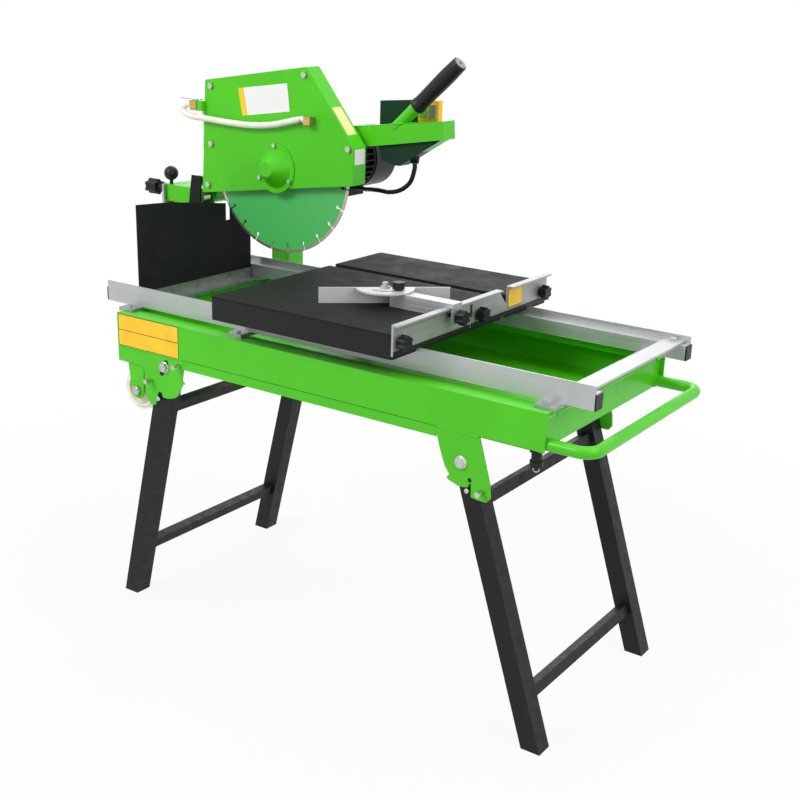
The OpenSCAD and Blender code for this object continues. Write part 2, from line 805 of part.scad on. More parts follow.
module motor_housing() color("dimgray") {
    difference() {
        union() {
            rod_y(hub[0], hub[1], motor_y0, 415, motor_r);
            rod_y(hub[0], hub[1], 415, 560, 54);
            rod_y(hub[0], hub[1], 560, 568, motor_r);
            for (a = [-60:12:240])
                translate([hub[0], 0, hub[1]]) rotate([0, -a, 0])
                    box([52, 415, -1.5], [motor_r, 560, 1.5]);
            box([200, 425, 205], [236, 490, 245]);
        }
        rod_y(hub[0], hub[1], 420, 560, 44);
        rod_y(hub[0], hub[1], motor_y0 - 1, 569, arbor_r + fit);
    }
}

module fan_cover() color("black") difference() {
    rod_y(hub[0], hub[1], 568, motor_y1, 66);
    rod_y(hub[0], hub[1], 567, motor_y1 - 2, 64);
    for (i = [1:4]) for (a = [0:60:300])
        translate([hub[0], 0, hub[1]]) rotate([0, a, 0])
            translate([i * 12, motor_y1 + 1, 0]) rotate([90, 0, 0]) cylinder(h = 5, r = 4);
}

module handle_grip() color("black") translate([400, 368, 362]) rotate([0, 47.5, 0]) difference() {
    union() {
        translate([0, 0, 72]) cylinder(h = 122, r = grip_d / 2);
        translate([0, 0, 66]) cylinder(h = 10, r = grip_d / 2 + 1.5);
    }
    translate([0, 0, 60]) cylinder(h = 44.1, r = handle_d / 2 + fit);
    translate([0, 0, 188]) cylinder(h = 10, r = 3);
}

module switch_panel() color("darkgreen") difference() {
    union() {
        box([341, beam_y1, 340], [426, 441, 418]);
        box([426, beam_y1, 362], [480, 441, 374]);
    }
    box([344, beam_y1 + 3, 343], [423, 442, 415]);
    box([422, beam_y1 + 3, 365], [477, 442, 371]);
}

module switch_box() color("gold") difference() {
    box([427, 401, 374], [477, 437, 422]);
    for (x = [434, 456])
        box([x - 0.3, 400, 385.7], [x + 16.3, 410, 410.3]);
}

module switch_button(x) box([x, 398.5, 386], [x + 16, 406, 410]);

module start_button() color("green") switch_button(434);

module stop_button() color("gray") switch_button(456);

module motor_cable() color("black") cord(cable_route, 4.5, 4, 8);

module water_hoses() color("whitesmoke") {
    cord(hose_route, hose_d / 2, 4, 10);
    cord(feed_route, 6, 4, 10);
}

module water_valve() color("goldenrod") {
    box([-75, 294, 366], [-57, 310, 386]);
    rod_y(-66, 376, 310, 313, 6);
    box([234, 290, 361], [250, guard_y0, 377]);
}

module valve_lever() color("silver") {
    rod_z(-66, 302, 386.2, 390, 7);
    box([-66, 298, 388], [-48, 306, 390]);
    box([-104, 298, 388], [-66, 306, 390]);
}

module splash_flap() color("dimgray") slab_y(309, 312)
    polygon([[-89, 228], [-60, 228], [-67, 172], [-84, 125], [-114, 125], [-98, 172]]);

// --- Blade -----------------------------------------------------------------------------------

module blade() translate([hub[0], blade_y + 1.4, hub[1]]) rotate([90, 0, 0]) {
    core_r = blade_r - 9;
    color("silver") difference() {
        translate([0, 0, (2.8 - blade_t) / 2]) cylinder(h = blade_t, r = core_r, $fn = 96);
        translate([0, 0, -1]) cylinder(h = 6, r = arbor_r + fit);
        for (i = [0:segments - 1]) rotate(6 + i * 360 / segments) {
            translate([core_r - 7, 0, -1]) cylinder(h = 6, r = 3.5);
            translate([core_r - 7, -gullet_w / 2, -1]) cube([12, gullet_w, 6]);
        }
    }
    color("lightgray") difference() {
        cylinder(h = 2.8, r = blade_r, $fn = 96);
        translate([0, 0, -1]) cylinder(h = 6, r = core_r, $fn = 96);
        for (i = [0:segments - 1]) rotate(6 + i * 360 / segments)
            translate([core_r - 2, -gullet_w / 2, -1]) cube([14, gullet_w, 6]);
    }
}

module blade_flanges() color("silver") {
    difference() {
        union() {
            rod_y(hub[0], hub[1], blade_y + 1.2, blade_y + 9, 32);
            rod_y(hub[0], hub[1], blade_y - 9, blade_y - 1.2, 32);
            hex_y(hub[0], hub[1], blade_y - 19, blade_y - 9, 18);
        }
        rod_y(hub[0], hub[1], blade_y - 20, blade_y + 20, arbor_r + fit);
    }
}

// Arbor with the motor's rotor and its cooling fan
module arbor() {
    color("silver") rod_y(hub[0], hub[1], 309, 612, arbor_r);
    color("gray") rod_y(hub[0], hub[1], 440, 540, 40);
    color("black") difference() {
        rod_y(hub[0], hub[1], 590, 606, 58);
        for (a = [0:45:315])
            translate([hub[0], 0, hub[1]]) rotate([0, a, 0]) box([22, 594, 1], [60, 607, 14]);
    }
}

// --- Curtain and rest post -------------------------------------------------------------------

module curtain() color("dimgray") slab_x(-3, 0) difference() {
    polygon([[63.5, 7], [63.5, 203], [152, 198], [255, 185], [316, 177], [tray_w - 64, 170], [tray_w - 64, 7]]);
    box_2d([blade_y - 7, 140], [blade_y + 7, 210]);
}

module rest_post() {
    color("limegreen") difference() {
        box([-25, 497, -60], [25, 547, 205]);
        box([-22, 500, -61], [22, 544, 202]);
    }
    color("limegreen") box([-25, tray_w, -60], [25, 497, -30]);
    color("black") rod_z(0, 522, 205, 217, 14);
}

at() tray();
at() under_frame();
at() leg_brackets();
at() frame_bolts();
at() rail_near();
at() rail_far();
at() rail_caps();
at() rail_feet();
at() cross_bar();
at() handle_bar();
at() drain_stub();
at() wheel_forks();
at() wheel_axles();
at() tilt_stand();
at() curtain();
at() rest_post();
at() legs_left();
at() legs_right();
at() wheel_near();
at() wheel_far();
at() table_deck();
at() table_mat();
at() table_ribs();
at() roller_brackets();
at() fence_plate();
at() fence_strip();
at() rollers_left();
at() rollers_right();
at() fence_knob_near();
at() fence_knob_mid();
at() fence_knob_far();
at() gauge_arm();
at() gauge_clamp_knob();
at() gauge_plate();
at() gauge_lock_knob();
at() tilt_plate();
at() tilt_block();
at() tilt_clamp();
at() brake_knob();
at() index_plunger();
at() arm_beam();
at() guard();
at() guard_screws();
at() hub_cover();
at() chop_shaft();
at() motor_housing();
at() fan_cover();
at() handle_grip();
at() switch_panel();
at() switch_box();
at() motor_cable();
at() water_hoses();
at() water_valve();
at() splash_flap();
at() valve_lever();
at() start_button();
at() stop_button();
at() blade();
at() blade_flanges();
at() arbor();
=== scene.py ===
"""Looks for the wheeled stone saw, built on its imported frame.

Blender works in metres. Places on the saw are written in millimetres from the tray's near left top corner,
with X along the tray, Y across it and Z up, and at() turns them into the frame's own metres.
"""

import json
import math

import bmesh
import bpy
from mathutils import Matrix, Vector


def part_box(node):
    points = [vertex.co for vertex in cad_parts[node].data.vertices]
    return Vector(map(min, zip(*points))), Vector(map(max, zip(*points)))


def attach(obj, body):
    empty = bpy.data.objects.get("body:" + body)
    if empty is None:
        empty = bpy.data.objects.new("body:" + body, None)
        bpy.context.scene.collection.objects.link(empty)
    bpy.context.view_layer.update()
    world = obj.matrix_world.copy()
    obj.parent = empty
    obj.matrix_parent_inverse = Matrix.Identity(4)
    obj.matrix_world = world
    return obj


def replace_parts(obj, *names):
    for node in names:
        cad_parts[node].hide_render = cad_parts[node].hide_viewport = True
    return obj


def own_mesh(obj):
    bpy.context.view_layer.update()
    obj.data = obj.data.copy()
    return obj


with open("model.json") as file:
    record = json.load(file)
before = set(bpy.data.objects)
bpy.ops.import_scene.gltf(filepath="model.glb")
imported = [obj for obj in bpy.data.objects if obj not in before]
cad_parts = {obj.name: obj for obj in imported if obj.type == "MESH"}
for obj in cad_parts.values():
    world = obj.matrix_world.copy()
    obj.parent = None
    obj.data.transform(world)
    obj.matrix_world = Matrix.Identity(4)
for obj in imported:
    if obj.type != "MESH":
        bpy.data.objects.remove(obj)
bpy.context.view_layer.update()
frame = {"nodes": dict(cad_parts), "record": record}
nodes = frame["nodes"]

# --- Camera ----------------------------------------------------------------------------------

CAMERA_AT = Vector((1.3902, -1.9217, 1.2302))
CAMERA_AZIMUTH = math.radians(34.105)
CAMERA_ELEVATION = math.radians(18.898)
CAMERA_ROLL = math.radians(1.8145)
CAMERA_LENS = 55.25
CAMERA_SENSOR = 36
CAMERA_SHIFT = (-0.0072, 0.0127)


def make_camera():
    """The camera at the photograph's own angle, with its slight roll."""
    sin_a, cos_a = math.sin(CAMERA_AZIMUTH), math.cos(CAMERA_AZIMUTH)
    sin_e, cos_e = math.sin(CAMERA_ELEVATION), math.cos(CAMERA_ELEVATION)
    forward = Vector((-sin_a * cos_e, cos_a * cos_e, -sin_e))
    level = Vector((cos_a, sin_a, 0))
    upright = level.cross(forward)
    right = level * math.cos(CAMERA_ROLL) + upright * math.sin(CAMERA_ROLL)
    up = upright * math.cos(CAMERA_ROLL) - level * math.sin(CAMERA_ROLL)
    data = bpy.data.cameras.new("camera")
    data.lens = CAMERA_LENS
    data.sensor_width = CAMERA_SENSOR
    data.shift_x, data.shift_y = CAMERA_SHIFT
    camera = bpy.data.objects.new("camera", data)
    turn = Matrix((right, up, -forward)).transposed().to_4x4()
    camera.matrix_world = Matrix.Translation(CAMERA_AT) @ turn
    bpy.context.scene.collection.objects.link(camera)
    bpy.context.scene.camera = camera


make_camera()

# --- Where the saw's main parts are ------------------------------------------------------------

MM = 0.001
tray_low, tray_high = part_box("tray")
ORIGIN = Vector((tray_low.x, tray_low.y, tray_high.z))
TRAY_WIDTH = (tray_high.y - tray_low.y) / MM


def at(x, y, z):
    """A point given in millimetres from the tray's near left top corner."""
    return ORIGIN + Vector((x, y, z)) * MM


def both(y):
    """A position on the near side, and its mirror image on the far side."""
    return y, TRAY_WIDTH - y


# --- Materials -------------------------------------------------------------------------------


class Nodes:
    """Small helper to write a material's node tree."""

    def __init__(self, name):
        self.material = bpy.data.materials.new(name)
        self.material.use_nodes = True
        self.tree = self.material.node_tree
        self.shader = self.tree.nodes["Principled BSDF"]
        self.coords = self.add("ShaderNodeTexCoord").outputs["Object"]

    def add(self, kind, **values):
        node = self.tree.nodes.new(kind)
        for key, value in values.items():
            setattr(node, key, value)
        return node

    def link(self, a, b):
        self.tree.links.new(a, b)

    def stretched(self, scale):
        """The object's coordinates with a scale for each axis."""
        mapping = self.add("ShaderNodeMapping")
        mapping.inputs["Scale"].default_value = scale
        self.link(self.coords, mapping.inputs["Vector"])
        return mapping.outputs["Vector"]

    def noise(self, scale, detail=4, rough=0.5, vector=None):
        node = self.add("ShaderNodeTexNoise")
        node.inputs["Scale"].default_value = scale
        node.inputs["Detail"].default_value = detail
        node.inputs["Roughness"].default_value = rough
        self.link(vector or self.coords, node.inputs["Vector"])
        return node.outputs["Fac"]

    def cells(self, scale):
        node = self.add("ShaderNodeTexVoronoi")
        node.inputs["Scale"].default_value = scale
        self.link(self.coords, node.inputs["Vector"])
        return node.outputs["Color"]

    def ramp(self, value, stops):
        """A colour between two stops, each a position and a colour."""
        node = self.add("ShaderNodeValToRGB")
        for element, (position, colour) in zip(node.color_ramp.elements, stops):
            element.position = position
            element.color = (*colour, 1)
        self.link(value, node.inputs["Fac"])
        return node.outputs["Color"]

    def between(self, value, low, high, start=0.3, end=0.7):
        """Low up to the value start, high from the value end, and a straight line between them."""
        node = self.add("ShaderNodeMapRange")
        node.inputs["From Min"].default_value = start
        node.inputs["From Max"].default_value = end
        node.inputs["To Min"].default_value = low
        node.inputs["To Max"].default_value = high
        self.link(value, node.inputs["Value"])
        return node.outputs["Result"]

    def mix(self, factor, a, b):
        """A blend of two colours, of which either may come from a node."""
        node = self.add("ShaderNodeMix", data_type="RGBA")
        self.link(factor, node.inputs["Factor"])
        colour_a, colour_b, colour_result = 6, 7, 2
        for socket, colour in ((node.inputs[colour_a], a), (node.inputs[colour_b], b)):
            if isinstance(colour, tuple):
                socket.default_value = (*colour, 1)
            else:
                self.link(colour, socket)
        return node.outputs[colour_result]

    def bump(self, height, strength, distance, normal=None):
        """A normal that follows the height, on top of another bump where one is given."""
        node = self.add("ShaderNodeBump")
        node.inputs["Strength"].default_value = strength
        node.inputs["Distance"].default_value = distance
        self.link(height, node.inputs["Height"])
        if normal:
            self.link(normal, node.inputs["Normal"])
        return node.outputs["Normal"]

    def finish(self, colour, rough, normal=None, **constants):
        """Links the shader's colour, roughness and normal, and sets what is the same all over."""
        self.link(colour, self.shader.inputs["Base Color"])
        self.link(rough, self.shader.inputs["Roughness"])
        if normal:
            self.link(normal, self.shader.inputs["Normal"])
        for key, value in constants.items():
            self.shader.inputs[key.replace("_", " ")].default_value = value
        return self.material


def shade(colour, factor):
    """The colour made darker or lighter."""
    return tuple(channel * factor for channel in colour)


def painted(name, colour, rough=0.34, peel=0.06, coat=0.08, shine=0.3):
    """Sprayed or powder-coated steel: orange peel, faint colour drift and dull patches."""
    n = Nodes(name)
    tone = n.ramp(n.noise(7, 3), [(0.3, shade(colour, 0.93)), (0.7, shade(colour, 1.05))])
    peeled = n.bump(n.noise(900, 2), peel, 0.0004)
    uneven = n.bump(n.noise(14, 2), peel * 0.8, 0.002, peeled)
    return n.finish(tone, n.between(n.noise(60, 5), rough * 0.8, rough * 1.3), uneven,
                    Coat_Weight=coat, Coat_Roughness=0.15, Specular_IOR_Level=shine)


def brushed(name, colour, along, rough=0.32, streak=0.35, metal=0.75):
    """Drawn or brushed metal, with fine streaks along one axis."""
    n = Nodes(name)
    scale = [700.0, 700.0, 700.0]
    scale[along] = 6.0
    streaks = n.noise(1, 5, 0.6, n.stretched(scale))
    cloud = n.noise(18, 4)
    tone = n.ramp(streaks, [(0.25, shade(colour, 1 - streak * 0.5)), (0.75, shade(colour, 1.05))])
    tone = n.mix(n.between(cloud, 0, 0.35, 0.45, 0.8), tone, shade(colour, 0.72))
    return n.finish(tone, n.between(streaks, rough * 0.75, rough * 1.35), n.bump(streaks, 0.12, 0.0003),
                    Metallic=metal)


def spangled(name, colour):
    """Galvanised steel: a patchwork of grey crystals."""
    n = Nodes(name)
    crystals = n.ramp(n.cells(85), [(0.1, shade(colour, 0.78)), (0.9, shade(colour, 1.1))])
    return n.finish(crystals, n.between(n.noise(220, 3), 0.28, 0.5), n.bump(n.noise(300, 3), 0.08, 0.0004),
                    Metallic=0.95)


def turned(name, colour, rough=0.25):
    """Plated or turned steel with light tarnish."""
    n = Nodes(name)
    tone = n.ramp(n.noise(90, 5, 0.65), [(0.3, shade(colour, 0.75)), (0.65, colour)])
    return n.finish(tone, n.between(n.noise(300, 3), rough * 0.7, rough * 1.5),
                    n.bump(n.noise(500, 3), 0.08, 0.0003), Metallic=1.0)


def moulded(name, colour, rough=0.45, grain=0.12, grain_scale=1600, worn=1.25, shine=0.5):
    """Moulded plastic or rubber with a fine grain and slightly worn high spots."""
    n = Nodes(name)
    tone = n.ramp(n.noise(35, 5, 0.6), [(0.35, colour), (0.75, shade(colour, worn))])
    return n.finish(tone, n.between(n.noise(120, 4), rough * 0.85, rough * 1.2),
                    n.bump(n.noise(grain_scale, 2), grain, 0.0004), Specular_IOR_Level=shine)


def table_rubber(name, colour):
    """The table's rubber: matt, with long scuffs and grey stone dust in its grain."""
    n = Nodes(name)
    scuff = n.noise(1, 6, 0.7, n.stretched((160.0, 14.0, 40.0)))
    dust = n.noise(28, 8, 0.68)
    tone = n.ramp(dust, [(0.35, colour), (0.8, shade(colour, 2.2))])
    tone = n.mix(n.between(scuff, 0, 0.55, 0.6, 0.85), tone, shade(colour, 2.6))
    normal = n.bump(n.noise(700, 4, 0.7), 0.3, 0.0006, n.bump(scuff, 0.12, 0.0006))
    return n.finish(tone, n.between(dust, 0.55, 0.8), normal, Specular_IOR_Level=0.14)


def blade_enamel(name, colour):
    """Green enamel on the blade's core, and bare sintered metal on its rim, around the blade's own axis."""
    n = Nodes(name)
    low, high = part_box("blade")
    centre = (low + high) / 2
    place = n.add("ShaderNodeVectorMath", operation="SUBTRACT")
    n.link(n.coords, place.inputs[0])
    place.inputs[1].default_value = centre
    radius = n.add("ShaderNodeVectorMath", operation="LENGTH")
    n.link(place.outputs["Vector"], radius.inputs[0])
    rings = n.add("ShaderNodeTexNoise", noise_dimensions="1D")
    rings.inputs["Scale"].default_value = 500
    rings.inputs["Detail"].default_value = 4
    n.link(radius.outputs["Value"], rings.inputs["W"])
    tone = n.ramp(rings.outputs["Fac"], [(0.3, shade(colour, 0.93)), (0.7, colour)])
    grit = n.noise(1400, 2)
    core_ends, rim_starts = 0.1692, 0.1698
    rim = n.between(radius.outputs["Value"], 0, 1, core_ends, rim_starts)
    tone = n.mix(rim, tone, n.ramp(grit, [(0.35, (0.42, 0.34, 0.3)), (0.6, (0.66, 0.56, 0.5))]))
    n.link(rim, n.shader.inputs["Metallic"])
    return n.finish(tone, n.between(grit, 0.3, 0.45), n.bump(grit, 0.08, 0.0003))


GREEN = (0.07, 0.53, 0.006)
materials = {
    "green_paint": painted("green enamel", GREEN),
    "dark_green": painted("dark green enamel", (0.007, 0.036, 0.018), rough=0.4, coat=0.0, shine=0.12),
    "black_paint": painted("black powder coat", (0.009, 0.009, 0.010), rough=0.45, peel=0.2, coat=0.02,
                           shine=0.2),
    "black_rubber": table_rubber("black rubber", (0.008, 0.008, 0.009)),
    "black_plastic": moulded("black plastic", (0.009, 0.009, 0.010), 0.38, shine=0.25),
    "aluminium": brushed("drawn aluminium", (0.5, 0.51, 0.52), along=0, rough=0.45),
    "zinc": spangled("galvanised steel", (0.4, 0.41, 0.42)),
    "steel": turned("zinc plated steel", (0.62, 0.62, 0.61)),
    "brass": turned("brass", (0.66, 0.44, 0.16), 0.3),
    "white_plastic": moulded("cast nylon", (0.76, 0.73, 0.6), 0.42, 0.08, worn=1.1),
    "yellow_plastic": moulded("yellow plastic", (0.85, 0.44, 0.005), 0.3, 0.05),
    "hose": moulded("hose", (0.72, 0.7, 0.6), 0.3, 0.1, 900),
    "green_button": moulded("green button", (0.05, 0.4, 0.1), 0.35),
    "grey_button": moulded("grey button", (0.26, 0.26, 0.27), 0.35),
    "cable": moulded("cable sheath", (0.006, 0.006, 0.007), 0.42, 0.1, shine=0.25),
}
blade_material = blade_enamel("blade enamel", (0.075, 0.5, 0.12))
motor_paint = painted("motor paint", (0.004, 0.004, 0.0045), rough=0.42, peel=0.15, coat=0.0, shine=0.14)
mat_material = table_rubber("table rubber", (0.006, 0.006, 0.0065))
cast_material = brushed("cast aluminium", (0.6, 0.6, 0.6), along=1, rough=0.5, streak=0.15, metal=0.6)
fence_material = brushed("fence aluminium", (0.42, 0.42, 0.43), along=1, rough=0.48)

# --- CAD nodes: materials and rounded edges ----------------------------------------------------

SLOT_OF = {part["node"]: part["material_slot"] for part in frame["record"]["subparts"]}
OWN_MATERIAL = {"blade": blade_material, "motor_housing": motor_paint, "table_mat": mat_material,
                "fence_plate": fence_material, "gauge_plate": cast_material}
EDGE_ROUND_MM = {"legs_left": 3.0, "legs_right": 3.0, "arm_beam": 2.2, "tray": 0.7, "guard": 1.2}
USUAL_ROUND_MM = 0.5
NOT_ROUNDED = {"motor_cable", "water_hoses", "index_plunger", "guard_screws"}
ROUND_OVER = math.radians(35)
CREASE_OVER = math.radians(32)


def soften(piece, width_mm, segments=2):
    """Rounds the edges where two faces meet at more than a slight angle."""
    rounding = piece.modifiers.new("round edges", "BEVEL")
    rounding.width = width_mm * MM
    rounding.segments = segments
    rounding.limit_method = "ANGLE"
    rounding.angle_limit = ROUND_OVER
    return piece


def crease(piece, angle=CREASE_OVER):
    """Keeps smooth shading from running over sharp edges."""
    piece.modifiers.new("smooth by angle", "EDGE_SPLIT").split_angle = angle
    return piece


def dress(name, node):
    """Gives a CAD node its material, smooth shading and small rounded edges."""
    node.data.materials.clear()
    node.data.materials.append(OWN_MATERIAL.get(name) or materials[SLOT_OF[name]])
    if name not in NOT_ROUNDED:
        soften(node, EDGE_ROUND_MM.get(name, USUAL_ROUND_MM))
    for polygon in node.data.polygons:
        polygon.use_smooth = True
    crease(node)


for node_name, node_object in nodes.items():
    dress(node_name, node_object)

# --- Building pieces ---------------------------------------------------------------------------


def add_piece(name, mesh, body, slot, material=None, smooth=True):
    """Links a mesh as one piece of the saw, riding on a CAD body."""
    piece = bpy.data.objects.new(name.replace(" ", "_"), mesh)
    bpy.context.scene.collection.objects.link(piece)
    mesh.materials.append(material or materials[slot])
    for polygon in mesh.polygons:
        polygon.use_smooth = smooth
    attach(piece, body)
    return piece


def mesh_from(name, bm):
    """A mesh whose faces all point outward."""
    mesh = bpy.data.meshes.new(name)
    bmesh.ops.recalc_face_normals(bm, faces=bm.faces)
    bm.to_mesh(mesh)
    bm.free()
    return mesh


def whole_turn(steps):
    """Evenly spaced angles once round."""
    return [i * math.tau / steps for i in range(steps)]


def sweep(bm, path, radius, sides):
    """Adds a round bar along a list of points. The radius is a number, or a list with one for each point."""
    radii = radius if isinstance(radius, list) else [radius] * len(path)
    normal = Vector((0, 0.13, 1))  # along no path's own direction
    rings = []
    for i, point in enumerate(path):
        tangent = (path[min(i + 1, len(path) - 1)] - path[max(i - 1, 0)]).normalized()
        normal = (normal - normal.dot(tangent) * tangent).normalized()
        side = tangent.cross(normal)
        ring = [math.cos(t) * normal + math.sin(t) * side for t in whole_turn(sides)]
        rings.append([bm.verts.new(point + radii[i] * outward) for outward in ring])
    for low, high in zip(rings, rings[1:]):
        for j in range(sides):
            k = (j + 1) % sides
            bm.faces.new((low[j], low[k], high[k], high[j]))
    bm.faces.new(rings[0][::-1])
    bm.faces.new(rings[-1])


def smooth_path(points, steps):
    """Points along a smooth Catmull-Rom curve through the route, as the CAD source draws it."""
    path = []
    for i in range(len(points) - 1):
        a, b = points[max(i - 1, 0)], points[i]
        c, d = points[i + 1], points[min(i + 2, len(points) - 1)]
        for step in range(steps):
            t = step / steps
            path.append(0.5 * (2 * b + (c - a) * t + (2 * a - 5 * b + 4 * c - d) * t ** 2
                               + (3 * b - a - 3 * c + d) * t ** 3))
    return path + [points[-1]]


# --- Hoses and cable ---------------------------------------------------------------------------

# These points repeat the routes that the CAD source gives the cords.
HOSE_ROUTE = [(232.8, 298, 369), (216, 298, 369), (150, 298, 354), (87, 298, 348), (20, 298, 349),
              (-37, 298, 352), (-78, 299, 354), (-101, 301, 365), (-88, 302, 377), (-76.3, 302, 377)]
FEED_ROUTE = [(-66, 313.8, 376), (-66, 322, 376), (-72, 334, 371), (-80, 345, 355), (-89, 357, 331),
              (-101, 369, 303), (-109, 376, 281), (-100, 378, 270), (-88.8, 378, 270)]
CABLE_ROUTE = [(436, 386, 297.2), (436, 386, 287), (427, 386, 261), (405, 386, 243), (376, 388, 235),
               (349, 392, 235), (318, 405, 232), (286, 430, 226), (260, 448, 224), (237, 448, 224)]
HOSE_RADIUS = 6.5
FEED_RADIUS = 6
CABLE_RADIUS = 4.5
HOSES = ((HOSE_ROUTE, HOSE_RADIUS), (FEED_ROUTE, FEED_RADIUS))
STEPS_PER_POINT = 12


def sweep_route(bm, route, radius, sides):
    """Adds a cord or hose along its route; both are in millimetres."""
    sweep(bm, smooth_path([at(*point) for point in route], STEPS_PER_POINT), radius * MM, sides)


def make_hoses():
    """The water hose over the guard and the short feed hose behind it, as one piece."""
    bm = bmesh.new()
    for route, radius in HOSES:
        sweep_route(bm, route, radius, 24)
    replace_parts(add_piece("water hoses", mesh_from("water hoses", bm), "head", "hose"), "water_hoses")


def make_cable():
    """The motor's lead."""
    bm = bmesh.new()
    sweep_route(bm, CABLE_ROUTE, CABLE_RADIUS, 20)
    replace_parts(add_piece("motor lead", mesh_from("motor lead", bm), "head", "cable"), "motor_cable")


def make_hose_clips():
    """Each hose is held near its first end by four narrow turns of wire."""
    turns, setback, pitch, wire, proud = 4, 4, 2.2, 1.6, 0.6
    bm = bmesh.new()
    for route, radius in HOSES:
        start = at(*route[0])
        along = (at(*route[1]) - start).normalized()
        for i in range(turns):
            first = start + along * (setback + i * pitch) * MM
            sweep(bm, [first, first + along * wire * MM], (radius + proud) * MM, 24)
    add_piece("hose clips", mesh_from("hose clips", bm), "head", "steel")


make_hoses()
make_cable()
make_hose_clips()

# --- Handle ------------------------------------------------------------------------------------

HANDLE_FOOT = at(400, 368, 362)
HANDLE_LEAN = math.radians(47.5)
HANDLE_ALONG = Vector((math.sin(HANDLE_LEAN), 0, math.cos(HANDLE_LEAN)))
HANDLE_ACROSS = Vector((math.cos(HANDLE_LEAN), 0, -math.sin(HANDLE_LEAN)))
TUBE_RADIUS = 12
GRIP_PROFILE = [(66, 13.2), (66.6, 15.4), (68, 16), (74, 16), (76, 15.2), (82, 14.7), (98, 14.9),
                (122, 15.5), (146, 15.9), (166, 15.7), (182, 15), (190, 14.7), (192.6, 14), (193.4, 12.4)]


def along_handle(distance):
    """A point on the handle's axis."""
    return HANDLE_FOOT + HANDLE_ALONG * distance * MM


def turned_handle(name, profile, slot, sides=32):
    """A round piece around the handle's axis, from pairs of distance and radius."""
    bm = bmesh.new()
    sweep(bm, [along_handle(d) for d, r in profile], [r * MM for d, r in profile], sides)
    return crease(add_piece(name, mesh_from(name, bm), "head", slot), math.radians(40))


def make_handle():
    """The tube, its rubber grip and the grip's pale end with a hole."""
    turned_handle("handle sleeve", [(4, TUBE_RADIUS), (84, TUBE_RADIUS)], "green_paint")
    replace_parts(turned_handle("rubber grip", GRIP_PROFILE, "black_plastic", sides=40), "handle_grip")
    turned_handle("grip end", [(193, 12.2), (193.9, 11.8)], "grey_button")
    turned_handle("grip hole", [(193, 2.8), (194, 2.8)], "black_plastic")


make_handle()

# --- Shaded cable box, painted hem shadow and small metalwork ----------------------------------


def prism(name, outline, y0, y1, body, slot, material=None):
    """A plate or block with the given outline in X and Z, between two positions across the saw."""
    bm = bmesh.new()
    near = [bm.verts.new(at(x, y0, z)) for x, z in outline]
    far = [bm.verts.new(at(x, y1, z)) for x, z in outline]
    bm.faces.new(near)
    bm.faces.new(far[::-1])
    count = len(outline)
    for i in range(count):
        j = (i + 1) % count
        bm.faces.new((near[j], near[i], far[i], far[j]))
    return add_piece(name, mesh_from(name, bm), body, slot, material, smooth=False)


def make_shaded_cable_box():
    """The box that hangs under the arm: a dark green sheet over the arm's green gusset, as painted shade under
    the arm.
    """
    outline = [(508.5, 350.8), (414.4, 292.4), (399.9, 292.4), (371.5, 299.6), (363.3, 326.6)]
    soften(prism("cable box", outline, 365.4, 396.6, "head", "dark_green"), 0.4)


def make_tray_hem_shadow():
    """A painted shadow: the dark line along the tray's lower hem, from the yellow plates to the tray's right
    end.
    """
    x0, x1, z0, z1 = 166.5, 949, -66.3, -65.5
    shadow = painted("seam shadow", (0.01, 0.07, 0.002))
    prism("tray seam", [(x0, z0), (x1, z0), (x1, z1), (x0, z1)], -0.2, 0.4, "base", "green_paint", shadow)


make_shaded_cable_box()
make_tray_hem_shadow()

LEFT_PIVOT = (126, -89)
RIGHT_PIVOT = (808, -118)
# A side's pivot, how far its legs lean from upright in degrees, and how far down the leg its lock pin is.
LEG_FRAMES = {"left": (LEFT_PIVOT, 13.5, 69), "right": (RIGHT_PIVOT, -18.26, 49)}


def rod_pair(x, z, y, length, radius):
    """A short rod that starts at y on the near side and runs inward, and its mirror image."""
    near, far = both(y)
    return [(x, z, near, near + length, radius), (x, z, far, far - length, radius)]


def rods(name, items, body, slot):
    """Short round rods across the saw with chamfered ends, as rod_pair gives them."""
    chamfer = 0.5
    bm = bmesh.new()
    for x, z, y0, y1, radius in items:
        inward = math.copysign(chamfer, y1 - y0)
        path = [at(x, y, z) for y in (y0, y0 + inward, y1 - inward, y1)]
        sweep(bm, path, [r * MM for r in (radius - chamfer, radius, radius, radius - chamfer)], 24)
    return add_piece(name, mesh_from(name, bm), body, slot)


def make_pins():
    """Plated sleeves on the legs' lock pins, and washers under the frame's bolts."""
    for side, (pivot, lean, reach) in LEG_FRAMES.items():
        turn = math.radians(lean)
        x, z = pivot[0] - reach * math.sin(turn), pivot[1] - reach * math.cos(turn)
        rods(f"{side} lock pins", rod_pair(x, z, -4.6, 5, 4.3), f"{side}_leg_frame", "steel")
    washers = [rod for x, z in (LEFT_PIVOT, RIGHT_PIVOT) for rod in rod_pair(x, z, -1.2, 1.1, 11.5)]
    rods("bolt washers", washers, "base", "steel")


def make_drain_loop():
    """The wire loop under the drain."""
    x, y, z = 936, 22, -103.5
    half_width, half_height, wire = 6, 6.5, 0.9
    ring = [at(x + half_width * math.cos(t), y, z + half_height * math.sin(t)) for t in whole_turn(20)]
    bm = bmesh.new()
    sweep(bm, ring + ring[:1], wire * MM, 8)
    add_piece("drain loop", mesh_from("drain loop", bm), "base", "steel")


def make_gland():
    """The gland where the motor's cable leaves its box."""
    x, y, _ = CABLE_ROUTE[0]
    profile = [(297.6, 7.4), (299, 8.4), (304, 8.4), (304.1, 9.2), (311, 9.2)]
    bm = bmesh.new()
    sweep(bm, [at(x, y, z) for z, r in profile], [r * MM for z, r in profile], 24)
    add_piece("cable gland", mesh_from("cable gland", bm), "head", "black_plastic")


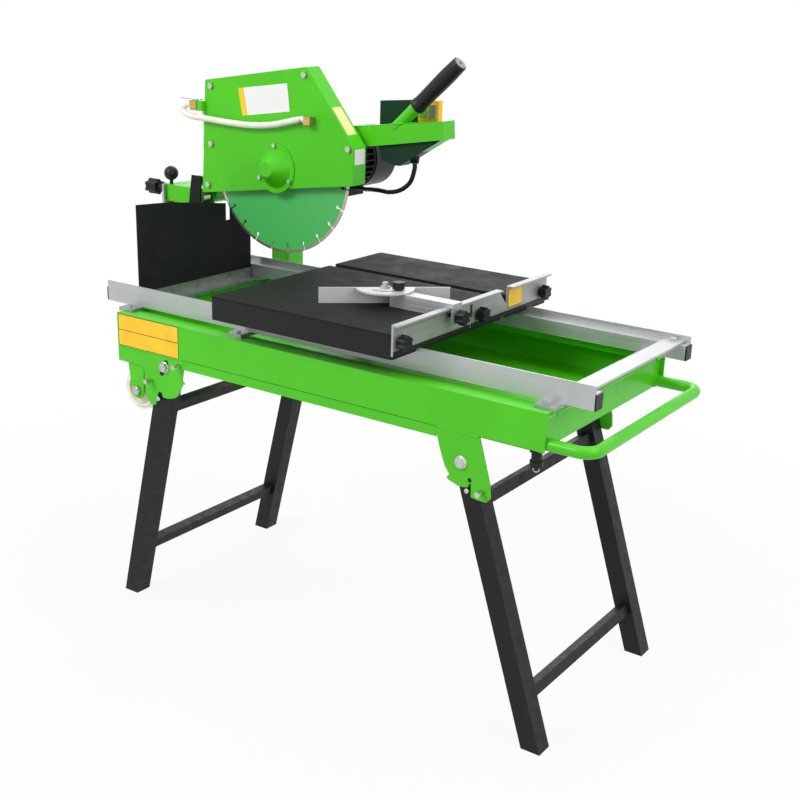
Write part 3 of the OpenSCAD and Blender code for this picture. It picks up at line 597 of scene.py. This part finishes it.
def make_slots():
    """Dark films for the slots in the left brackets, which show around the pivot bolts."""
    half_width, film, arc_steps = 5.5, 0.06, 8
    upper, lower = Vector((131.5, 0, -78.5)), Vector((118.5, 0, -102.5))
    upward = (upper - lower).normalized()
    side = Vector((0, 1, 0)).cross(upward)
    outline = []
    for centre, start in ((upper, 0), (lower, math.pi)):
        for i in range(arc_steps + 1):
            t = start + math.pi * i / arc_steps
            outline.append(centre + half_width * (side * math.cos(t) + upward * math.sin(t)))
    bm = bmesh.new()
    for y in both(-film):
        bm.faces.new([bm.verts.new(at(p.x, y, p.z)) for p in outline])
    add_piece("bracket slots", mesh_from("bracket slots", bm), "base", "black_plastic", smooth=False)


make_pins()
make_drain_loop()
make_gland()
make_slots()

# --- Switch ------------------------------------------------------------------------------------


def make_switch():
    """The switch's sheet with its sloping top, the shallow yellow case and a rim under each button."""
    sheet = [(341, 340), (426, 340), (426, 362), (480, 362), (480, 374), (429, 374), (429, 417.7), (341, 410)]
    case = [(427, 374.2), (477, 374.2), (477, 419), (427, 421.8)]
    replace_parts(soften(prism("switch sheet", sheet, 398.2, 402, "head", "dark_green"), 0.5), "switch_panel")
    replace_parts(soften(prism("switch case", case, 401, 416, "head", "yellow_plastic"), 1.8, 3), "switch_box")
    width, margin, z0, z1 = 16, 1.6, 386, 410
    for x, button in ((434, "green_button"), (456, "grey_button")):
        x0, x1 = x - margin, x + width + margin
        rim = [(x0, z0 - margin), (x1, z0 - margin), (x1, z1 + margin), (x0, z1 + margin)]
        soften(prism(f"{button} rim", rim, 400.3, 401.5, "head", "yellow_plastic"), 0.4)


make_switch()

# --- Welds -------------------------------------------------------------------------------------


def bead(name, path, radius_mm, body, closed=False):
    """A weld bead: a rope of small overlapping ripples along a path."""
    points = smooth_path(path + path[:1] if closed else path, 14)
    radii = [radius_mm * MM * (1 + 0.22 * math.sin(i * 1.9)) for i in range(len(points))]
    bm = bmesh.new()
    sweep(bm, points, radii, 8)
    return add_piece(name, mesh_from(name, bm), body, "green_paint")


def make_bracket_welds():
    """Beads along the tops of the leg brackets, under the tray's hem."""
    weld_z = -66.6
    for side, y in zip(("near", "far"), both(-0.1)):
        for end, places in (("left", (3, 60, 120, 176)), ("right", (758, 790, 820, 840))):
            bead(f"{side} {end} bracket weld", [at(x, y, weld_z) for x in places], 1.3, "base")


def make_bar_welds():
    """A bead round each end of the grab bar."""
    x, z, radius = 950.6, -55, 11
    for side, y in zip(("near", "far"), both(14)):
        ring = [at(x, y + radius * math.cos(t), z + radius * math.sin(t)) for t in whole_turn(12)]
        bead(f"{side} handle weld", ring, 1.6, "base", closed=True)


def make_arm_welds():
    """The bead round the handle's foot, where its tube goes into the arm's top, and one along the arm."""
    radius, middle, reach = TUBE_RADIUS + 0.2, 16.3, 16.9
    ring = []
    for t in whole_turn(16):
        outward = HANDLE_ACROSS * math.cos(t) + Vector((0, math.sin(t), 0))
        ring.append(along_handle(middle + reach * math.cos(t)) + outward * radius * MM)
    bead("handle foot weld", ring, 1.3, "head", closed=True)
    arm_left, arm_z, arm_slope = -24, 318.5, 0.125
    seam = [at(x, 358.2, arm_z + (x - arm_left) * arm_slope) for x in (-10, 120, 260, 400, 500)]
    bead("arm top weld", seam, 0.8, "head")


make_bracket_welds()
make_bar_welds()
make_arm_welds()

# --- Rubber curtain ----------------------------------------------------------------------------


def make_curtain():
    """The curtain at the tray's left end, as one sheet with a mesh of its own."""
    near_y, far_y, foot, thickness = 63.5, 396, 7, 2.9
    slot_y0, slot_y1, slot_foot = 318.6, 332.6, 140
    top = [(near_y, 203), (152, 198), (255, 185), (316, 177), (slot_y0, 176.8), (slot_y0, slot_foot),
           (slot_y1, slot_foot), (slot_y1, 175), (far_y, 170)]
    outline = [(near_y, foot), *top, (far_y, foot)]
    bm = bmesh.new()
    left, right = [[bm.verts.new(at(x, y, z)) for y, z in outline] for x in (-thickness, 0)]
    bm.faces.new(left[::-1])
    bm.faces.new(right)
    count = len(outline)
    for i in range(count):
        j = (i + 1) % count
        bm.faces.new((left[i], left[j], right[j], right[i]))
    mesh = mesh_from("rubber curtain", bm)
    curtain = add_piece("rubber curtain", mesh, "base", "black_rubber", smooth=False)
    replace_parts(curtain, "curtain")
    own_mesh(curtain)


make_curtain()

# --- Plain panels ------------------------------------------------------------------------------

film_paint = {
    "yellow": moulded("yellow film", (0.85, 0.5, 0.01), 0.4, 0.04),
    "white": moulded("white film", (0.8, 0.8, 0.79), 0.4, 0.04, worn=1.05),
    "pale": moulded("pale yellow film", (0.8, 0.74, 0.3), 0.4, 0.04, worn=1.05),
    "dark": moulded("dark film", (0.02, 0.03, 0.02), 0.45, 0.04),
}
FILM_SLOT = {"yellow": "yellow_plastic", "pale": "yellow_plastic", "white": "green_paint",
             "dark": "green_paint"}
FILM = 0.2
PLATE = 0.3
TOWARDS_NEAR = (0, -1, 0)
TOWARDS_RIGHT = (1, 0, 0)
TRAY_WALL_Y = 0
FENCE_FACE_X = 690
GUARD_FACE_Y = 307


def panel(name, corners, out, body, film, thickness):
    """A thin flat plate with rounded corners, whose back has the given four corners."""
    round_radius = 1.5 * MM
    outline = []
    for i, corner in enumerate(corners):
        before = (corners[i - 1] - corner).normalized() * round_radius
        after = (corners[(i + 1) % 4] - corner).normalized() * round_radius
        for t in (0, 0.25, 0.5, 0.75, 1):
            outline.append(corner + before * (1 - t) ** 2 + after * t ** 2)
    offset = Vector(out).normalized() * thickness * MM
    bm = bmesh.new()
    front = [bm.verts.new(point + offset) for point in outline]
    back = [bm.verts.new(point) for point in outline]
    bm.faces.new(front)
    bm.faces.new(back[::-1])
    count = len(outline)
    for i in range(count):
        j = (i + 1) % count
        bm.faces.new((front[i], front[j], back[j], back[i]))
    return add_piece(name, mesh_from(name, bm), body, FILM_SLOT[film], film_paint[film], smooth=False)


def rectangle(a0, a1, b0, b1):
    """The four corners of a rectangle, in order."""
    return [(a0, b0), (a1, b0), (a1, b1), (a0, b1)]


def near_panel(name, corners, y, body, film, thickness):
    """A panel on a face towards the near side, from its corners in X and Z."""
    panel(name, [at(x, y, z) for x, z in corners], TOWARDS_NEAR, body, film, thickness)


def right_panel(name, corners, x, body, film, thickness):
    """A panel on a face towards the right, from its corners in Y and Z."""
    panel(name, [at(x, y, z) for y, z in corners], TOWARDS_RIGHT, body, film, thickness)


def make_tray_panels():
    """Two yellow plates on one dark film at the tray's left end."""
    near_panel("panel tray edge", rectangle(3, 166, -65.5, -1.5), TRAY_WALL_Y, "base", "dark", FILM)
    for low, high in ((-64.2, -34), (-32.6, -2.8)):
        near_panel(f"panel tray {int(-low)}", rectangle(4.3, 164.7, low, high), TRAY_WALL_Y - FILM, "base",
                   "yellow", FILM)


def make_fence_panels():
    """A yellow square on a dark film, on the fence's far half."""
    edge, square = rectangle(335, 388, 60, 97), rectangle(336.5, 386.7, 61.3, 95.7)
    right_panel("panel fence edge", edge, FENCE_FACE_X, "table", "dark", FILM)
    right_panel("panel fence", square, FENCE_FACE_X + FILM, "table", "yellow", FILM)


def make_guard_panels():
    """The white plate and yellow strip on the guard's front, and the small plates on its slope and end."""
    plate = [(75, 366), (186, 382), (179, 436), (64, 420)]
    strip = [(61, 364), (74, 366), (63, 420), (50, 418)]
    near_panel("panel guard", plate, GUARD_FACE_Y, "head", "white", PLATE)
    near_panel("panel guard strip", strip, GUARD_FACE_Y, "head", "yellow", PLATE)
    slope_top, slope_foot = Vector((228, 0, 470)), Vector((346, 0, 324))
    slope_out = (slope_top.z - slope_foot.z, 0, slope_foot.x - slope_top.x)
    first, last = slope_top.lerp(slope_foot, 0.5), slope_top.lerp(slope_foot, 0.84)
    corners = [at(p.x, y, p.z) for p, y in ((first, 313), (first, 341), (last, 341), (last, 313))]
    panel("panel slope", corners, slope_out, "head", "pale", PLATE)
    low_x, low_z, high_x, high_z = 345.6, 292, 346, 322
    corners = [at(low_x, 311, low_z), at(low_x, 343, low_z), at(high_x, 343, high_z), at(high_x, 311, high_z)]
    panel("panel guard end", corners, TOWARDS_RIGHT, "head", "white", PLATE)


make_tray_panels()
make_fence_panels()
make_guard_panels()

# --- Fence marks -------------------------------------------------------------------------------


def make_fence_marks():
    """A plain scale along the fence's near half, without figures, and the joint and slot of its overlay."""
    first, step, count, long_every, top, half_width = -28, 2, 61, 5, 94, 0.25
    marks = []
    for i in range(count):
        y = first + step * i
        height = 7 if i % long_every == 0 else 4
        marks.append((0.05, y - half_width, y + half_width, top - height, top))
    joint = (0.06, 205.3, 205.9, 49, 101)
    slot = (0.06, 200.5, 208.5, 69, 92)
    bm = bmesh.new()
    for proud, y0, y1, z0, z1 in marks + [joint, slot]:
        bm.faces.new([bm.verts.new(at(FENCE_FACE_X + proud, y, z)) for y, z in rectangle(y0, y1, z0, z1)])
    add_piece("fence scale", mesh_from("fence scale", bm), "table", "black_plastic", film_paint["dark"],
              smooth=False)


make_fence_marks()

# --- Studio ------------------------------------------------------------------------------------


def pale_rays(tree, path):
    """One for the rays that show the background: the camera's, and those of reflections and of glass."""
    rays = path.outputs["Is Camera Ray"]
    for other in ("Is Glossy Ray", "Is Transmission Ray"):
        either = tree.nodes.new("ShaderNodeMath")
        either.operation = "MAXIMUM"
        tree.links.new(rays, either.inputs[0])
        tree.links.new(path.outputs[other], either.inputs[1])
        rays = either.outputs[0]
    return rays


def make_floor():
    """A pale floor that keeps the saw's shadow and turns white further out."""
    half_size, below_feet = 14, 0.0005
    white_share, shadow_ends, white_starts = 0.9, 0.7, 1.6
    mesh = bpy.data.meshes.new("floor")
    mesh.from_pydata([(x, y, 0) for x, y in rectangle(-half_size, half_size, -half_size, half_size)], [],
                     [(0, 1, 2, 3)])
    floor = bpy.data.objects.new("floor", mesh)
    floor.location.z = -below_feet
    bpy.context.scene.collection.objects.link(floor)
    n = Nodes("pale floor")
    tone = n.ramp(n.noise(3, 3), [(0.3, (0.62, 0.62, 0.62)), (0.7, (0.66, 0.66, 0.66))])
    n.link(tone, n.shader.inputs["Base Color"])
    n.shader.inputs["Roughness"].default_value = 0.9
    glow = n.add("ShaderNodeEmission")
    path = n.add("ShaderNodeLightPath")
    seen = n.add("ShaderNodeMath", operation="MULTIPLY")
    n.link(pale_rays(n.tree, path), seen.inputs[0])
    reach = n.add("ShaderNodeVectorMath", operation="LENGTH")
    n.link(n.coords, reach.inputs[0])
    n.link(n.between(reach.outputs["Value"], white_share, 1, shadow_ends, white_starts), seen.inputs[1])
    blend = n.add("ShaderNodeMixShader")
    n.link(seen.outputs[0], blend.inputs[0])
    n.link(n.shader.outputs[0], blend.inputs[1])
    n.link(glow.outputs[0], blend.inputs[2])
    n.link(blend.outputs[0], n.tree.nodes["Material Output"].inputs["Surface"])
    mesh.materials.append(n.material)


def make_world(strength):
    """White to the camera, in reflections and through glass, and a dimmer even light on the object."""
    world = bpy.data.worlds.new("studio")
    bpy.context.scene.world = world
    world.use_nodes = True
    tree = world.node_tree
    background = tree.nodes["Background"]
    background.inputs["Color"].default_value = (1, 1, 1, 1)
    path = tree.nodes.new("ShaderNodeLightPath")
    direct = pale_rays(tree, path)
    level = tree.nodes.new("ShaderNodeMapRange")
    level.inputs["To Min"].default_value = strength
    level.inputs["To Max"].default_value = 1
    tree.links.new(direct, level.inputs["Value"])
    tree.links.new(level.outputs[0], background.inputs["Strength"])


def make_lamp(name, place, target, size, watts):
    """A rectangular lamp that faces its target."""
    data = bpy.data.lights.new(name, "AREA")
    data.shape = "RECTANGLE"
    data.size, data.size_y = size
    data.energy = watts
    lamp = bpy.data.objects.new(name, data)
    lamp.location = place
    lamp.rotation_mode = "QUATERNION"
    lamp.rotation_quaternion = (Vector(target) - Vector(place)).to_track_quat("-Z", "Y")
    bpy.context.scene.collection.objects.link(lamp)


def make_studio():
    """Soft plain light at which a colour renders about as it is written."""
    bpy.context.scene.view_settings.view_transform = "Standard"
    make_floor()
    make_world(strength=0.45)
    saw_middle, head_middle = (0, 0, 0.7), (-0.2, 0, 0.95)
    make_lamp("key", (-1.6, -3.0, 3.2), head_middle, size=(2.2, 1.6), watts=112)
    make_lamp("fill", (3.4, -1.0, 1.8), saw_middle, size=(2.0, 2.0), watts=30)
    make_lamp("slope", (2.4, 0.2, 3.0), head_middle, size=(1.6, 1.6), watts=30)
    make_lamp("top", (0.2, 0.6, 3.6), saw_middle, size=(3.0, 2.4), watts=42)
    make_lamp("back", (-1.8, 3.0, 2.2), saw_middle, size=(2.4, 1.8), watts=30)


make_studio()
